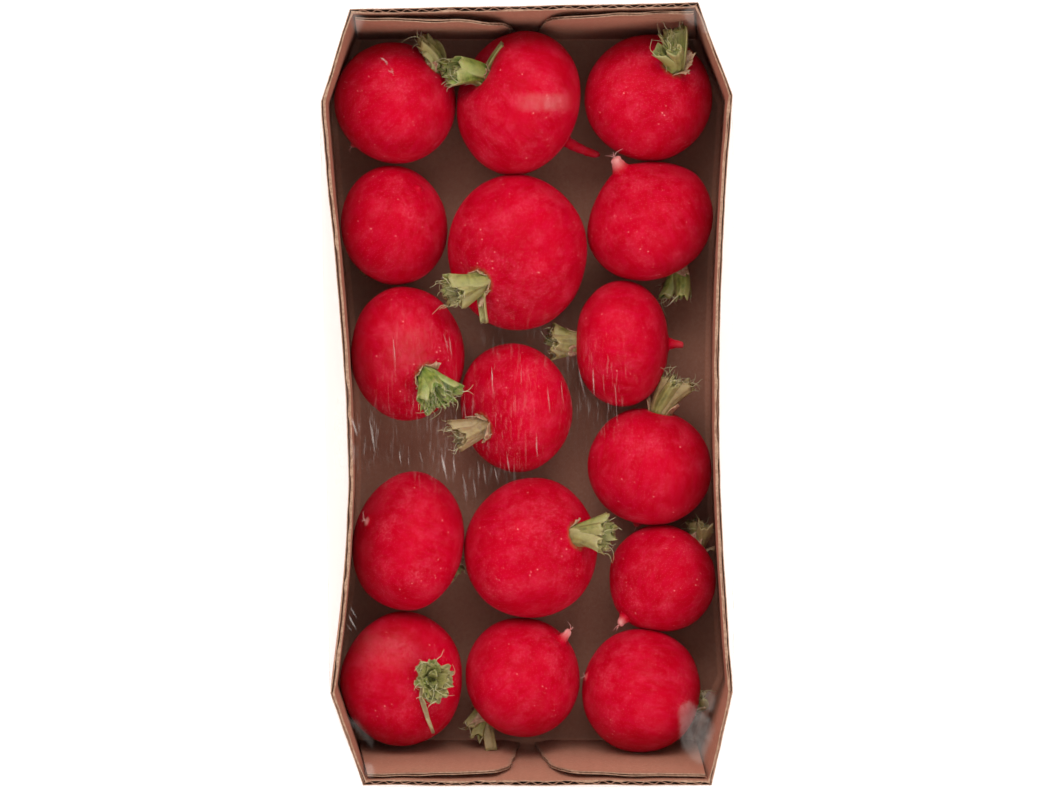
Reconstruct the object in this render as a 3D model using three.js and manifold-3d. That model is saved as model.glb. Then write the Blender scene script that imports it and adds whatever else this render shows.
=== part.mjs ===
// A punnet of radishes: sixteen topped radishes lie in one layer in a folded
// tray of corrugated board with eight sides, wrapped in clear stretch film.
// Millimetres, +Z up, +X across the tray, +Y along it. The origin is under the
// middle of the pack, on the surface that it stands on.
import * as THREE from "three";
import Module from "manifold-3d";
import { mergeVertices } from "three/addons/utils/BufferGeometryUtils.js";

const wasm = await Module();
wasm.setup();

// Driving sizes of the pack.
const GAP = 0.3;
const FILM = 0.6;
const BOARD = 1.5;
const TRAY_HEIGHT = 40;
const TRAY_FOOT = FILM + GAP;
const TRAY_RIM = TRAY_FOOT + TRAY_HEIGHT;
const FLOOR = TRAY_FOOT + BOARD;

// The pulled film has drawn the tray out of true, so the corners of its base and of
// its rim are each given, anticlockwise from the corner at +X +Y. The kinks are where
// the corner panels meet the long walls, and both long walls are drawn inwards.
const BASE = {
  endPlusX: [42.6, 89.7],
  endMinusX: [-42.6, 89.7],
  kinkMinusX: [-49.8, 71.3],
  lowKinkMinusX: [-47.9, -69.1],
  lowEndMinusX: [-42.6, -87.5],
  lowEndPlusX: [42.6, -87.5],
  lowKinkPlusX: [49.8, -69.1],
  kinkPlusX: [49.8, 71.3],
};
const RIM = {
  endPlusX: [40.4, 92.4],
  endMinusX: [-41.8, 90.8],
  kinkMinusX: [-48.6, 69],
  lowKinkMinusX: [-46.3, -70.6],
  lowEndMinusX: [-38.7, -92.4],
  lowEndPlusX: [43.6, -92.4],
  lowKinkPlusX: [48.5, -70.2],
  kinkPlusX: [48.5, 70.6],
};
const BOW_MINUS_X = { depth: 4.9, skew: 1.3 };
const BOW_PLUS_X = { depth: 3.1, skew: 1 };
const LONG_WALL_STEPS = 8;
const WALL_LEVELS = [0, 0.5, 1];

// Glue flaps that lie inside the end walls, one from each corner panel: how far each
// reaches at its foot and at its top, where its corner is rounded, and its height.
const FLAP = { foot: 39.8, top: 33.6, round: 5.4, height: 39, proud: 1.3, sunk: 0.4 };

// Stretch film: it stands a little off the walls, its hem is tucked under the base,
// and its top sags a little.
const SLACK = 0.5;
const HEM = 19;
const FILM_SAG = 1.4;
const FILM_RINGS = [0.84, 0.66, 0.45, 0.22];

// Each radish: the middle in plan, the width across and the length from crown to
// root (without the root's tail), the compass bearing and the rise of its crown
// in degrees, the tail's length and thickness, how far the body tapers into its
// root, how deep the crown sits in the shoulders, and how far the body is drawn
// out along X and Y. Then its cut leaf stalks: how many, how long, the way the
// bundle points, how far it opens, and one more stalk that goes a way of its own.
const RADISHES = [
  { x: -31.8, y: 70.3, across: 29.4, long: 28, bearing: 44, rise: 20, tail: 3, thick: 2.2,
    stretch: [1.02, 1],
    stalks: 4, reach: 9.3, toward: [-1.1, 0.95, 0.3], open: 0.28 },
  { x: -2, y: 70, across: 34.2, long: 29, bearing: 146, rise: 24, tail: 9, thick: 2.8,
    taper: 0.1, dimple: 3.2, stretch: [0.95, 1.07],
    stalks: 4, reach: 11.8, toward: [-1, -0.2, 0.55], open: 0.32,
    lone: { toward: [0.6, 0.75, 0.35], reach: 9.8, width: 2.3 } },
  { x: 29.4, y: 71.6, across: 31.2, long: 28.8, bearing: 51, rise: 50, tail: 3, thick: 2.2,
    stalks: 4, reach: 10.4, toward: [-0.4, 0.7, 0.4], open: 0.62 },
  { x: -32.2, y: 40.8, across: 28, long: 25.6, bearing: 231, rise: -35, tail: 0.6, thick: 2,
    stretch: [0.95, 1.05],
    stalks: 3, reach: 5, toward: [-0.3, -0.5, -0.4], open: 0.3 },
  { x: -2.3, y: 34.2, across: 34.6, long: 32.8, bearing: 218, rise: 45, tail: 4, thick: 2.6,
    stretch: [0.99, 1.07],
    stalks: 5, reach: 10.3, toward: [-1, -0.3, 0.3], open: 0.42,
    lone: { toward: [0.15, -1, 0], reach: 9.5, width: 2.6 } },
  { x: 29.6, y: 42.2, across: 31.8, long: 28, bearing: -59, rise: -20, tail: 4, thick: 3.8,
    taper: 0.42,
    stalks: 4, reach: 10.6, toward: [-0.35, -1, 0.05], open: 0.62 },
  { x: -28.9, y: 9.8, across: 30.4, long: 28.6, bearing: -44, rise: 57, tail: 1.6, thick: 2,
    stretch: [0.91, 1.07],
    stalks: 6, reach: 10, toward: [0.35, -0.85, 0.35], open: 0.66 },
  { x: -2.7, y: -3.3, across: 31, long: 25.4, bearing: 207, rise: 39, tail: 3, thick: 2.2,
    stretch: [0.94, 1.04],
    stalks: 4, reach: 8.8, toward: [-1, -0.35, 0.12], open: 0.36 },
  { x: 22.9, y: 12.1, across: 31, long: 22.6, bearing: 180, rise: -4, tail: 3.6, thick: 2.4,
    stalks: 4, reach: 7.8, toward: [-1, 0.18, 0.36], open: 0.36 },
  { x: 29.5, y: -17.5, across: 29.4, long: 27, bearing: 78, rise: 8, tail: 1, thick: 2,
    stretch: [1, 1.04],
    stalks: 5, reach: 11.2, toward: [0.72, 0.75, 0.3], open: 0.46 },
  { x: -28.6, y: -35.7, across: 33.4, long: 27, bearing: -25, rise: -30, tail: 0.7, thick: 2.2,
    stretch: [0.91, 1.03],
    stalks: 3, reach: 4.6, toward: [0.4, -0.8, -0.3], open: 0.3 },
  { x: 0.9, y: -37.3, across: 32.8, long: 31.6, bearing: 17, rise: 40, tail: 5.5, thick: 2.4,
    stretch: [0.99, 1.04],
    stalks: 6, reach: 9.4, toward: [1, -0.12, 0.3], open: 0.46 },
  { x: 32.5, y: -44.9, across: 26.6, long: 25.8, bearing: 45, rise: -15, tail: 2.6, thick: 2.6,
    taper: 0.22,
    stalks: 3, reach: 6.4, toward: [-0.05, 0.7, 0.35], open: 0.36 },
  { x: -30.2, y: -68.9, across: 30.6, long: 29, bearing: 6, rise: 60, tail: 1.4, thick: 2,
    stretch: [0.98, 1.04],
    stalks: 7, reach: 7.2, toward: [0, 0, 1], open: 0.95,
    lone: { toward: [0.25, -1, -0.15], reach: 13, width: 2.2 } },
  { x: -0.9, y: -68.3, across: 29, long: 27.4, bearing: 224, rise: -20, tail: 3.2, thick: 2.4,
    taper: 0.16, stretch: [0.99, 1.02],
    stalks: 4, reach: 7.6, toward: [-0.25, -1, 0.25], open: 0.46,
    lone: { toward: [0.22, -1, 0.3], reach: 7.5, width: 4.2 } },
  { x: 27.6, y: -71.7, across: 29.8, long: 28.4, bearing: -15, rise: -14, tail: 0.5, thick: 2,
    stretch: [0.99, 1.02],
    stalks: 3, reach: 4.6, toward: [0.3, 0.8, 0.1], open: 0.3 },
];

// How fine the solids are.
const RADISH_SIDES = 14;
const STALK_SIDES = 5;
const STALK_STEPS = 2;
const SMALLEST = 0.06;

// Leaf stalks: sizes that all tufts share.
const STALK = { width: 3.7, thick: 1.8, ring: 1.4 };
const CROWN = { radius: 2.8, height: 1.4 };

// How deep a crown sits in the shoulders, where a radish has no depth of its own.
const SHALLOW = 0.7;

const RED = { color: 0xb8001f, roughness: 0.42, metalness: 0 };
const GREEN = { color: 0x8f9450, roughness: 0.7, metalness: 0 };
const KRAFT = { color: 0xa56a54, roughness: 0.9, metalness: 0 };
const CLEAR = { color: 0xffffff, roughness: 0.08, metalness: 0, transparent: true, opacity: 0.12 };

const radians = THREE.MathUtils.degToRad;
const vector = (v) => new THREE.Vector3(v[0], v[1], v[2]);

// A number from 0 to 1 that is always the same for the same pair of numbers.
function draw(a, b) {
  const s = Math.sin(a * 12.9898 + b * 78.233) * 43758.5453;
  return s - Math.floor(s);
}

// A closed mesh through rings of points, each ring with the same number of points,
// with a fan to its own middle at both ends.
function loft(rings) {
  const around = rings[0].length;
  const points = rings.flat();
  const faces = [];
  for (let r = 0; r + 1 < rings.length; r++) {
    for (let i = 0; i < around; i++) {
      const a = r * around + i;
      const b = r * around + ((i + 1) % around);
      faces.push(a, b, b + around, a, b + around, a + around);
    }
  }
  for (const end of [0, rings.length - 1]) {
    const middle = rings[end].reduce((sum, p) => sum.add(p), new THREE.Vector3()).divideScalar(around);
    const apex = points.push(middle) - 1;
    for (let i = 0; i < around; i++) {
      const a = end * around + i;
      const b = end * around + ((i + 1) % around);
      if (end === 0) faces.push(b, a, apex);
      else faces.push(a, b, apex);
    }
  }
  const geometry = new THREE.BufferGeometry().setFromPoints(points);
  geometry.setIndex(faces);
  return geometry;
}

// Boolean work on closed meshes.
function solidOf(geometry) {
  const bare = geometry.clone();
  bare.deleteAttribute("normal");
  bare.deleteAttribute("uv");
  const merged = mergeVertices(bare, 1e-4);
  return new wasm.Manifold(
    new wasm.Mesh({
      numProp: 3,
      vertProperties: new Float32Array(merged.attributes.position.array),
      triVerts: new Uint32Array(merged.index.array),
    }),
  );
}

function geometryOf(solid) {
  const mesh = solid.getMesh();
  const geometry = new THREE.BufferGeometry();
  geometry.setAttribute("position", new THREE.BufferAttribute(mesh.vertProperties, 3));
  geometry.setIndex(new THREE.BufferAttribute(mesh.triVerts, 1));
  return geometry;
}

// Joins closed meshes into one, and closes up edges too short to matter.
const fuse = (geometries) =>
  geometryOf(geometries.map(solidOf).reduce((all, one) => all.add(one)).simplify(SMALLEST));

function named(name, geometry, finish) {
  geometry.computeVertexNormals();
  const mesh = new THREE.Mesh(geometry, new THREE.MeshStandardMaterial(finish));
  mesh.name = name;
  return mesh;
}

// Outlines of the tray, anticlockwise seen from above, as [x, y] points. Both long
// walls are cut into steps, so that every outline has the same number of points.
function eightSides(corners, bows) {
  const outline = [];
  const names = Object.keys(RIM);
  for (const [i, name] of names.entries()) {
    const here = corners[name];
    const next = corners[names[(i + 1) % names.length]];
    outline.push(here);
    const bow = bows[name];
    if (!bow) continue;
    for (let s = 1; s < LONG_WALL_STEPS; s++) {
      const along = s / LONG_WALL_STEPS;
      const inward = bow.side * bow.depth * Math.sin(Math.PI * along ** bow.skew);
      outline.push([
        here[0] + (next[0] - here[0]) * along + inward,
        here[1] + (next[1] - here[1]) * along,
      ]);
    }
  }
  return outline;
}

const mix = (a, b, t) => a.map((value, i) => value + (b[i] - value) * t);

// The tray's outer outline at a level from 0 at the base to 1 at the rim. A share of 0
// for the bow of the long walls gives the line that taut film takes across them.
function outlineAt(level, bowShare = 1) {
  const corners = {};
  for (const name of Object.keys(RIM)) corners[name] = mix(BASE[name], RIM[name], level);
  return eightSides(corners, {
    kinkMinusX: { side: 1, depth: BOW_MINUS_X.depth * bowShare, skew: BOW_MINUS_X.skew },
    lowKinkPlusX: { side: -1, depth: BOW_PLUS_X.depth * bowShare, skew: BOW_PLUS_X.skew },
  });
}

// Moves an outline inwards, or outwards where the distance is below 0.
function inset(outline, distance) {
  return outline.map((here, i) => {
    const before = outline[(i + outline.length - 1) % outline.length];
    const after = outline[(i + 1) % outline.length];
    const a = new THREE.Vector2(here[0] - before[0], here[1] - before[1]).normalize();
    const b = new THREE.Vector2(after[0] - here[0], after[1] - here[1]).normalize();
    const inward = new THREE.Vector2(-a.y - b.y, a.x + b.x).normalize();
    const reach = distance / inward.dot(new THREE.Vector2(-a.y, a.x));
    return [here[0] + inward.x * reach, here[1] + inward.y * reach];
  });
}

const level = (outline, z) => outline.map(([x, y]) => new THREE.Vector3(x, y, z));

// The tray: one folded blank, with base, eight walls and the four glue flaps.
function trayWalls() {
  const outside = WALL_LEVELS.map((l) => level(outlineAt(l), TRAY_FOOT + l * TRAY_HEIGHT));
  const inside = WALL_LEVELS.map((l) =>
    level(inset(outlineAt(l), BOARD), l === 0 ? FLOOR : TRAY_FOOT + l * TRAY_HEIGHT),
  );
  return loft([...outside, ...inside.reverse()]);
}

// A flap lies against the inner face of an end wall, from a corner towards the middle.
function flap(corner, farCorner) {
  const foot = vector([...inset(outlineAt(0), BOARD)[corner], FLOOR]);
  const top = vector([...inset(outlineAt(1), BOARD)[corner], TRAY_RIM]);
  const far = vector([...inset(outlineAt(0), BOARD)[farCorner], FLOOR]);
  const along = far.clone().sub(foot).normalize();
  const up = top.clone().sub(foot);
  up.addScaledVector(along, -up.dot(along)).normalize();
  const inward = new THREE.Vector3(0, -Math.sign(foot.y), 0);
  inward.addScaledVector(up, -inward.dot(up)).normalize();

  // The flap leans with the fold at its corner, and its free end by half as much.
  const lean = top.clone().sub(foot).dot(along) / FLAP.height;
  const at = (reach, height) => [reach + (lean / 2) * height, height];
  const start = -0.4;
  const shape = new THREE.Shape();
  shape.moveTo(start, 0);
  shape.lineTo(FLAP.foot, 0);
  shape.lineTo(...at(FLAP.foot - 2.8, FLAP.height * 0.55));
  shape.quadraticCurveTo(
    ...at(FLAP.top + 1.4, FLAP.height - 0.4),
    ...at(FLAP.top - FLAP.round, FLAP.height - 1),
  );
  shape.lineTo(start + lean * FLAP.height, FLAP.height - 1.6);
  const board = new THREE.ExtrudeGeometry(shape, {
    depth: FLAP.proud + FLAP.sunk,
    bevelEnabled: false,
    curveSegments: 5,
  });
  board.translate(0, 0, -FLAP.sunk);
  const turn = new THREE.Matrix4().makeBasis(along, up, inward).setPosition(foot);
  board.applyMatrix4(turn);
  // A flap that comes from the other side is built as a mirror image, which turns it inside out.
  if (turn.determinant() < 0) turnOver(board);
  return board;
}

function turnOver(geometry) {
  const p = geometry.attributes.position;
  for (let i = 0; i < p.count; i += 3) {
    const a = new THREE.Vector3().fromBufferAttribute(p, i);
    const b = new THREE.Vector3().fromBufferAttribute(p, i + 1);
    p.setXYZ(i, b.x, b.y, b.z);
    p.setXYZ(i + 1, a.x, a.y, a.z);
  }
}

function tray() {
  const low = LONG_WALL_STEPS + 3;
  const flaps = [flap(0, 1), flap(1, 0), flap(low, low + 1), flap(low + 1, low)];
  return named("tray", fuse([trayWalls(), ...flaps]), KRAFT);
}

// The film: over the rim, down the walls, straight across the bowed long ones, and
// tucked under the base, where it leaves the middle of the board bare.
function film() {
  const rim = outlineAt(1, 0);
  const foot = outlineAt(0, 0);
  const sheet = (outline, base) =>
    FILM_RINGS.map((share) =>
      outline.map(([x, y]) => {
        const sag = FILM_SAG * (1 - (share / FILM_RINGS[0]) ** 2);
        return new THREE.Vector3(x * share, y * share, base - sag);
      }),
    );
  const outerRim = inset(rim, -(SLACK + FILM));
  const innerRim = inset(rim, -SLACK);
  const underside = TRAY_RIM + GAP;
  const wall = (distance, low, high) =>
    WALL_LEVELS.map((l) => level(inset(outlineAt(l, 0), -distance), low + (high - low) * l));
  const outer = [
    level(inset(foot, HEM), 0),
    ...wall(SLACK + FILM, 0, underside + FILM),
    ...sheet(outerRim, underside + FILM),
  ];
  const inner = [
    ...sheet(innerRim, underside).reverse(),
    ...wall(SLACK, FILM, underside).reverse(),
    level(inset(foot, HEM), FILM),
  ];
  return named("film", shell(outer, inner), CLEAR);
}

// A closed shell from an outer run of rings that ends at the middle of the top, and
// an inner run that comes back from there to the opening where the first run began.
function shell(outer, inner) {
  const around = outer[0].length;
  const points = [...outer.flat(), ...inner.flat()];
  const faces = [];
  const strip = (first, second) => {
    for (let i = 0; i < around; i++) {
      const j = (i + 1) % around;
      faces.push(first + i, first + j, second + j, first + i, second + j, second + i);
    }
  };
  for (let r = 0; r + 1 < outer.length; r++) strip(r * around, (r + 1) * around);
  const start = outer.length * around;
  for (let r = 0; r + 1 < inner.length; r++) strip(start + r * around, start + (r + 1) * around);
  strip(start + (inner.length - 1) * around, 0);
  const outerTop = (outer.length - 1) * around;
  const apexOut = points.push(new THREE.Vector3(0, 0, outer[outer.length - 1][0].z)) - 1;
  const apexIn = points.push(new THREE.Vector3(0, 0, inner[0][0].z)) - 1;
  for (let i = 0; i < around; i++) {
    const j = (i + 1) % around;
    faces.push(outerTop + i, outerTop + j, apexOut);
    faces.push(start + j, start + i, apexIn);
  }
  const geometry = new THREE.BufferGeometry().setFromPoints(points);
  geometry.setIndex(faces);
  return geometry;
}

// One radish body, with its crown up +Y: a lathed profile, made a little out of round.
function radishBody(radish, index) {
  const { across, long, tail, thick, taper = 0, dimple = SHALLOW } = radish;
  const half = long / 2;
  const profile = [
    new THREE.Vector2(0, -half - tail),
    new THREE.Vector2(thick * 0.28, -half - tail * 0.98),
    new THREE.Vector2(thick * 0.42, -half - tail * 0.5),
    new THREE.Vector2(thick * 0.62, -half - tail * 0.05),
  ];
  for (const angle of [160, 141, 121, 101, 81, 61, 43, 28]) {
    const a = radians(angle);
    const narrow = THREE.MathUtils.clamp((angle - 90) / 70, 0, 1) ** 2;
    profile.push(
      new THREE.Vector2(
        (across / 2) * Math.sin(a) ** 0.93 * (1 - taper * narrow),
        half * Math.cos(a) * (1 + 0.12 * taper * narrow),
      ),
    );
  }
  profile.push(new THREE.Vector2(CROWN.radius * 1.25, half - dimple * 0.75));
  profile.push(new THREE.Vector2(CROWN.radius * 0.8, half - dimple), new THREE.Vector2(0, half - dimple));

  const body = mergeVertices(bareLathe(profile), 1e-4);
  const p = body.attributes.position;
  for (let i = 0; i < p.count; i++) {
    const x = p.getX(i);
    const z = p.getZ(i);
    const share = Math.hypot(x, z) / (across / 2);
    const round = Math.atan2(z, x);
    const swell = 1 + share * lumps(round, index);
    p.setX(i, x * swell);
    p.setZ(i, z * swell);
  }
  return body;
}

function bareLathe(profile) {
  const lathe = new THREE.LatheGeometry(profile, RADISH_SIDES);
  lathe.deleteAttribute("normal");
  lathe.deleteAttribute("uv");
  return lathe;
}

// How far a radish swells out of round at an angle about its axis.
function lumps(round, index) {
  const two = 0.022 * Math.cos(2 * round + 6.28 * draw(index, 1));
  const three = 0.014 * Math.cos(3 * round + 6.28 * draw(index, 2));
  const five = 0.006 * Math.cos(5 * round + 6.28 * draw(index, 3));
  return two + three + five;
}

function crownAxis({ bearing, rise }) {
  const b = radians(bearing);
  const r = radians(rise);
  return new THREE.Vector3(Math.cos(r) * Math.cos(b), Math.cos(r) * Math.sin(b), Math.sin(r));
}

// Turns a body from crown up +Y to crown along its axis, with its own +X level.
function crownTurn(axis) {
  const side = new THREE.Vector3(0, 0, 1).cross(axis).normalize();
  const third = new THREE.Vector3().crossVectors(side, axis);
  return new THREE.Quaternion().setFromRotationMatrix(new THREE.Matrix4().makeBasis(side, axis, third));
}

// One cut leaf stalk, a flat oval in section with its broad side to the crown's axis.
// It leaves its root along the axis and then turns the way it points.
function stalk(root, axis, outward, heading, length, size) {
  const rise = length * size.straight;
  const knee = root.clone().addScaledVector(axis, rise);
  const tip = knee.clone().addScaledVector(heading, length - rise);
  const path = new THREE.QuadraticBezierCurve3(root, knee, tip);
  const across = new THREE.Vector3().crossVectors(axis, outward).normalize();
  const rings = [];
  for (let s = 0; s <= STALK_STEPS; s++) {
    const along = s / STALK_STEPS;
    const middle = path.getPoint(along);
    const forward = path.getTangent(along);
    const side = across.clone().addScaledVector(forward, -across.dot(forward)).normalize();
    const flat = new THREE.Vector3().crossVectors(forward, side);
    const shrink = 1 - 0.25 * along;
    const ring = [];
    for (let i = 0; i < STALK_SIDES; i++) {
      const a = (2 * Math.PI * i) / STALK_SIDES;
      ring.push(
        middle
          .clone()
          .addScaledVector(side, (Math.cos(a) * size.width * shrink) / 2)
          .addScaledVector(flat, (Math.sin(a) * size.thick * shrink) / 2),
      );
    }
    rings.push(ring);
  }
  return loft(rings);
}

// The tuft of one radish, in world directions about the bottom of its crown.
function tuft(radish, index) {
  const axis = crownAxis(radish);
  const turn = crownTurn(axis);
  const toward = vector(radish.toward).normalize();
  const core = new THREE.CylinderGeometry(CROWN.radius * 0.78, CROWN.radius * 0.78, CROWN.height, 7);
  core.translate(0, CROWN.height / 2, 0);
  core.applyQuaternion(turn);
  const pieces = [core];
  const start = (outward, share) =>
    outward.clone().multiplyScalar(STALK.ring * share).addScaledVector(axis, CROWN.height * 0.45);
  for (let i = 0; i < radish.stalks; i++) {
    const angle = (2 * Math.PI * (i + 0.35 * draw(index, 10 + i))) / radish.stalks;
    const outward = new THREE.Vector3(Math.cos(angle), 0, Math.sin(angle)).applyQuaternion(turn);
    const open = radish.open * (0.8 + 0.5 * draw(index, 20 + i));
    const heading = toward.clone().addScaledVector(outward, open).normalize();
    const length = radish.reach * (0.78 + 0.25 * draw(index, 30 + i));
    const width = STALK.width * (0.85 + 0.35 * draw(index, 40 + i));
    const size = { width, thick: STALK.thick, straight: 0.32 };
    pieces.push(stalk(start(outward, 1), axis, outward, heading, length, size));
  }
  if (radish.lone) {
    const heading = vector(radish.lone.toward).normalize();
    const outward = heading.clone().addScaledVector(axis, -heading.dot(axis)).normalize();
    const size = { width: radish.lone.width, thick: STALK.thick, straight: 0.14 };
    pieces.push(stalk(start(outward, 0.9), axis, outward, heading, radish.lone.reach, size));
  }
  return fuse(pieces);
}

const pack = new THREE.Group();
pack.add(tray(), film());

for (const [i, radish] of RADISHES.entries()) {
  const number = String(i + 1).padStart(2, "0");
  const axis = crownAxis(radish);
  const [wider, longer] = radish.stretch ?? [1, 1];

  const body = named(`radish_${number}`, radishBody(radish, i + 1), RED);
  body.quaternion.copy(crownTurn(axis));
  const bed = new THREE.Group();
  bed.scale.set(wider, longer, 1);
  bed.add(body);
  bed.position.set(radish.x, radish.y, 0);
  bed.updateMatrixWorld(true);
  const lowest = new THREE.Box3().setFromObject(bed, true).min.z;
  bed.position.z = FLOOR + GAP - lowest;

  const leaves = named(`stalks_${number}`, tuft(radish, i + 1), GREEN);
  const crown = axis.clone().multiplyScalar(radish.long / 2 - (radish.dimple ?? SHALLOW) + GAP + 0.1);
  leaves.position.set(
    radish.x + crown.x * wider,
    radish.y + crown.y * longer,
    bed.position.z + crown.z,
  );
  pack.add(bed, leaves);
}

export default pack;
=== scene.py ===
import math

import bpy
import numpy as np
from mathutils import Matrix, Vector, noise


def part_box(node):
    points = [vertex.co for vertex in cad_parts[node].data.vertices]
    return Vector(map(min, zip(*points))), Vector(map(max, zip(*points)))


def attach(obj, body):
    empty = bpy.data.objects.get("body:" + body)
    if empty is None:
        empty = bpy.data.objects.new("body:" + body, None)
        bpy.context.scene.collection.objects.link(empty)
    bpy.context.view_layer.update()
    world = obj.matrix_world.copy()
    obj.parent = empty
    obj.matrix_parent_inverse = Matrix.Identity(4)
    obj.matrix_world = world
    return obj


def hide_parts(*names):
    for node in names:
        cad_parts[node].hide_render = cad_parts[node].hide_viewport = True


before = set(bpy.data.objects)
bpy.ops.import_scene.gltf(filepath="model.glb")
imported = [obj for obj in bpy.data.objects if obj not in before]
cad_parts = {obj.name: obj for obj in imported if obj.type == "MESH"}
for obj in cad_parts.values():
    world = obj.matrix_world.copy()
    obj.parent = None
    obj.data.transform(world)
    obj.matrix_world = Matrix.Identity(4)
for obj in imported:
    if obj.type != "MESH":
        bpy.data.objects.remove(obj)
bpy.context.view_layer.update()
MM = 0.001

# Sizes of the pack in millimetres, the same as those of the solids.
BOARD = 1.5
TRAY_FOOT, TRAY_HEIGHT = 0.9, 40.0
TRAY_RIM = TRAY_FOOT + TRAY_HEIGHT
FLOOR = TRAY_FOOT + BOARD
BASE = [
    (42.6, 89.7), (-42.6, 89.7), (-49.8, 71.3), (-47.9, -69.1),
    (-42.6, -87.5), (42.6, -87.5), (49.8, -69.1), (49.8, 71.3),
]
RIM = [
    (40.4, 92.4), (-41.8, 90.8), (-48.6, 69), (-46.3, -70.6),
    (-38.7, -92.4), (43.6, -92.4), (48.5, -70.2), (48.5, 70.6),
]
# The board's thickness in the cut edge of each side, as some are crushed more than others,
# and 1 for the sides whose flutes lie level.
EDGES = [1.2, 0.82, 1.16, 0.8, 1.2, 0.82, 1.16, 0.8]
LEVEL_FLUTES = [0.0, 1, 1, 1, 0, 1, 1, 1]
# How many steps each side of the outline has, and how far the two long ones are drawn in.
SIDE_STEPS = [62, 16, 96, 16, 62, 16, 96, 16]
BOWS = {2: (4.9, 1.3), 6: (3.1, 1.0)}
FLAP = {"foot": 39.8, "top": 33.6, "height": 39.0, "round": 5.4, "thick": 1.3}
FLUTE = 3.5
LINER = 0.2
STALK = {"width": 3.7, "thick": 1.8, "ring": 1.4}
CROWN_RADIUS = 2.8
SHALLOW_DIMPLE = 0.7
ROUND_STEPS = 72

# Each radish, a row of the columns below: its middle in plan, width across, length, its
# crown's bearing and rise, its tail's length and thickness, and "pale", how whitish the tail
# is. Then its cut leaf stalks: how many, how far they reach and towards where, "open", how
# far they spread, "fresh", how green they are, from 0, dry and tan, to 1, and how many
# fibres and dry scales they have. What departs from the usual comes last: "wide" scales the
# stalks' width, "stretch" the radish in plan, "taper" narrows its foot, "dimple" is the depth
# of its crown's, "hook" how far its tail's tip bends, and "lone" one more stalk with a way of
# its own.
COLUMNS = (
    "x", "y", "across", "long", "bearing", "rise", "tail", "thick", "pale",
    "stalks", "reach", "toward", "open", "fresh", "fibres", "bracts",
)
RADISHES = [
    (-31.8, 70.3, 29.4, 28, 44, 20, 1.6, 2.2, 0.5, 4, 9.3, (-1.1, 0.95, 0.3), 0.28, 0.6, 5, 3,
     dict(wide=1.45, stretch=(1.02, 1))),
    (-2, 70, 34.2, 29, 146, 24, 9, 2.8, 0.02, 4, 11.8, (-1, -0.2, 0.55), 0.32, 0.8, 7, 4,
     dict(wide=1.5, stretch=(0.95, 1.07), taper=0.1, dimple=3.2, hook=(3.2, 1.2, 2.5),
          lone=dict(toward=(0.6, 0.75, 0.35), reach=9.8, width=2.3))),
    (29.4, 71.6, 31.2, 28.8, 51, 50, 3, 2.2, 0.5, 4, 10.4, (-0.4, 0.7, 0.4), 0.62, 0.6, 5, 5, {}),
    (-32.2, 40.8, 28, 25.6, 231, -35, 0.6, 2, 0, 3, 4, (0.1, -0.4, -0.7), 0.3, 0.4, 2, 0,
     dict(stretch=(0.95, 1.05))),
    (-2.3, 34.2, 34.6, 32.8, 218, 45, 4, 2.6, 0.5, 5, 10.3, (-1, -0.3, 0.3), 0.42, 0.4, 9, 5,
     dict(wide=1.4, stretch=(0.99, 1.07),
          lone=dict(toward=(0.15, -1, 0), reach=9.5, width=2.6))),
    (29.6, 42.2, 31.8, 28, -59, -20, 4, 3.8, 0.7, 4, 10.6, (-0.35, -1, 0.05), 0.62, 0.8, 8, 2,
     dict(wide=1.3, taper=0.42)),
    (-28.9, 9.8, 30.4, 28.6, -44, 57, 1.6, 2, 0.4, 6, 10, (0.35, -0.85, 0.35), 0.66, 1.0, 8, 4,
     dict(stretch=(0.91, 1.07))),
    (-2.7, -3.3, 31, 25.4, 207, 39, 3, 2.2, 0.4, 4, 8.8, (-1, -0.35, 0.12), 0.36, 0.12, 6, 5,
     dict(stretch=(0.94, 1.04))),
    (22.9, 12.1, 31, 22.6, 180, -4, 3.6, 2.4, 0.1, 4, 7.8, (-1, 0.18, 0.36), 0.36, 0.38, 4, 2,
     dict(wide=1.3)),
    (29.5, -17.5, 29.4, 27, 78, 8, 1, 2, 0.3, 5, 11.2, (0.72, 0.75, 0.3), 0.46, 0.3, 12, 3,
     dict(stretch=(1, 1.04))),
    (-28.6, -35.7, 33.4, 27, -25, -30, 0.7, 2.2, 0.9, 3, 4.6, (0.4, -0.8, -0.3), 0.3, 0.4, 2, 2,
     dict(stretch=(0.91, 1.03))),
    (0.9, -37.3, 32.8, 31.6, 17, 40, 5.5, 2.4, 0.1, 6, 9.4, (1, -0.12, 0.3), 0.46, 0.5, 6, 2,
     dict(stretch=(0.99, 1.04))),
    (32.5, -44.9, 26.6, 25.8, 45, -15, 2.6, 2.6, 0.9, 3, 6.4, (-0.05, 0.7, 0.35), 0.36, 0.4, 4, 2,
     dict(taper=0.22)),
    (-30.2, -68.9, 30.6, 29, 6, 60, 1.4, 2, 0.3, 7, 7.2, (0, 0, 1), 0.95, 0.5, 8, 5,
     dict(stretch=(0.98, 1.04),
          lone=dict(toward=(0.02, -1, -0.15), reach=13.5, width=2.4, sway=(-2.6, 0, 0.4), end=0.3,
                    dry=0.45))),
    (-0.9, -68.3, 29, 27.4, 224, -20, 3.2, 2.4, 0.8, 4, 7.6, (-0.25, -1, 0.25), 0.46, 0.4, 4, 2,
     dict(stretch=(0.99, 1.02), taper=0.16,
          lone=dict(toward=(0.22, -1, 0.3), reach=9.6, width=4.2, end=0.85, dry=0.25))),
    (27.6, -71.7, 29.8, 28.4, -15, -14, 0.5, 2, 0.4, 3, 4.6, (0.3, 0.8, 0.1), 0.3, 0.4, 2, 2,
     dict(stretch=(0.99, 1.02))),
]
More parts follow.
